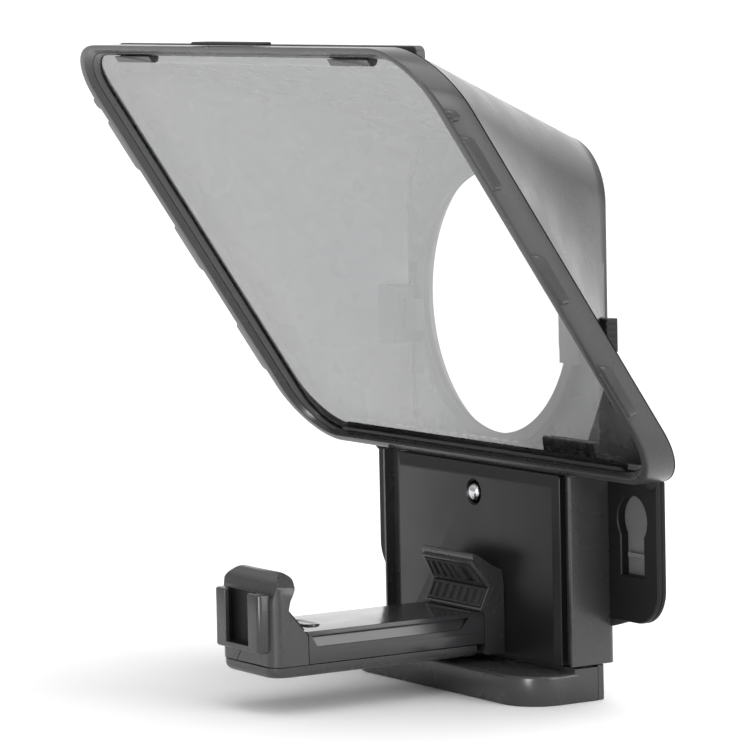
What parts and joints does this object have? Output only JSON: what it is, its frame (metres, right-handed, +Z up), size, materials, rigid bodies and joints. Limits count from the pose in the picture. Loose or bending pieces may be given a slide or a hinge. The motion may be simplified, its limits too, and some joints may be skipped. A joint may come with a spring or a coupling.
{
  "type": "teleprompter",
  "caption": "Portable beam-splitter teleprompter: slanted glass in a frame, light hood, lens opening, base post with wings, foot and a sprung phone clamp.",
  "frame": {"origin": "on the underside of the foot, on the symmetry plane, straight below the front plate's face", "axes": "+X to the right of someone reading the screen's reflection from the lens side, -Y towards the reader, +Z up"},
  "size_m": [0.2284, 0.1152, 0.2219],
  "materials": {
    "shell": "satin black moulding",
    "inner": "matte black",
    "plate": "satin black",
    "glass": "half-silvered, polished",
    "rubber": "matte",
    "steel": "bright",
    "brass": "turned",
    "liner": "satin"
  },
  "bodies": {
    "base": {"front_frame": "shell", "beam_splitter_glass": "glass", "glass_gasket": "rubber", "glass_clip_left": "inner", "glass_clip_right": "inner", "glass_stop_strip": "inner", "top_pad": "rubber", "hood_shell": "shell", "rear_wall": "shell", "lens_ring": "inner", "latch_guide_left": "inner", "latch_guide_right": "inner", "latch_spring_left": "steel", "latch_spring_right": "steel", "rear_screw_1": "steel", "rear_screw_2": "steel", "rear_screw_3": "steel", "rear_screw_4": "steel", "base_post": "shell", "keyhole_plate_left": "liner", "keyhole_plate_right": "liner", "front_plate": "plate", "lock_pin_bush": "inner", "lock_pin_spring": "steel", "foot": "shell", "foot_rear_strip": "shell", "tripod_bush": "brass", "foot_screw_1": "steel", "foot_screw_2": "steel", "rear_jaw": "shell", "rear_jaw_pad_upper": "rubber", "rear_jaw_pad_lower": "rubber", "arm_shell": "shell", "button_spring": "steel", "clamp_spring": "steel"},
    "clamp_jaw": {"slider_rail": "shell", "front_jaw": "shell", "front_jaw_pad": "rubber", "accessory_shoe": "plate"},
    "latch_left": {"ring_latch_left": "inner"},
    "latch_right": {"ring_latch_right": "inner"},
    "pin": {"lock_pin": "steel"},
    "button": {"release_button": "rubber"}
  },
  "joints": [
    {"name": "clamp_slide", "type": "slide", "parent": "base", "child": "clamp_jaw", "axis": [0, -1, 0], "range_m": [0, 0.04], "stiffness_N_per_m": 120, "springref_m": -0.02, "deforming": ["clamp_spring"]},
    {"name": "latch_left_slide", "type": "slide", "parent": "base", "child": "latch_left", "axis": [-1, 0, 0], "range_m": [0, 0.0056], "stiffness_N_per_m": 300, "deforming": ["latch_spring_left"]},
    {"name": "latch_right_slide", "type": "slide", "parent": "base", "child": "latch_right", "axis": [1, 0, 0], "range_m": [0, 0.0056], "stiffness_N_per_m": 300, "deforming": ["latch_spring_right"]},
    {"name": "pin_press", "type": "slide", "parent": "base", "child": "pin", "axis": [0, 1, 0], "range_m": [0, 0.0025], "stiffness_N_per_m": 400, "deforming": ["lock_pin_spring"]},
    {"name": "button_press", "type": "slide", "parent": "base", "child": "button", "axis": [0, 0, -1], "range_m": [0, 0.001], "stiffness_N_per_m": 400, "deforming": ["button_spring"]}
  ]
}
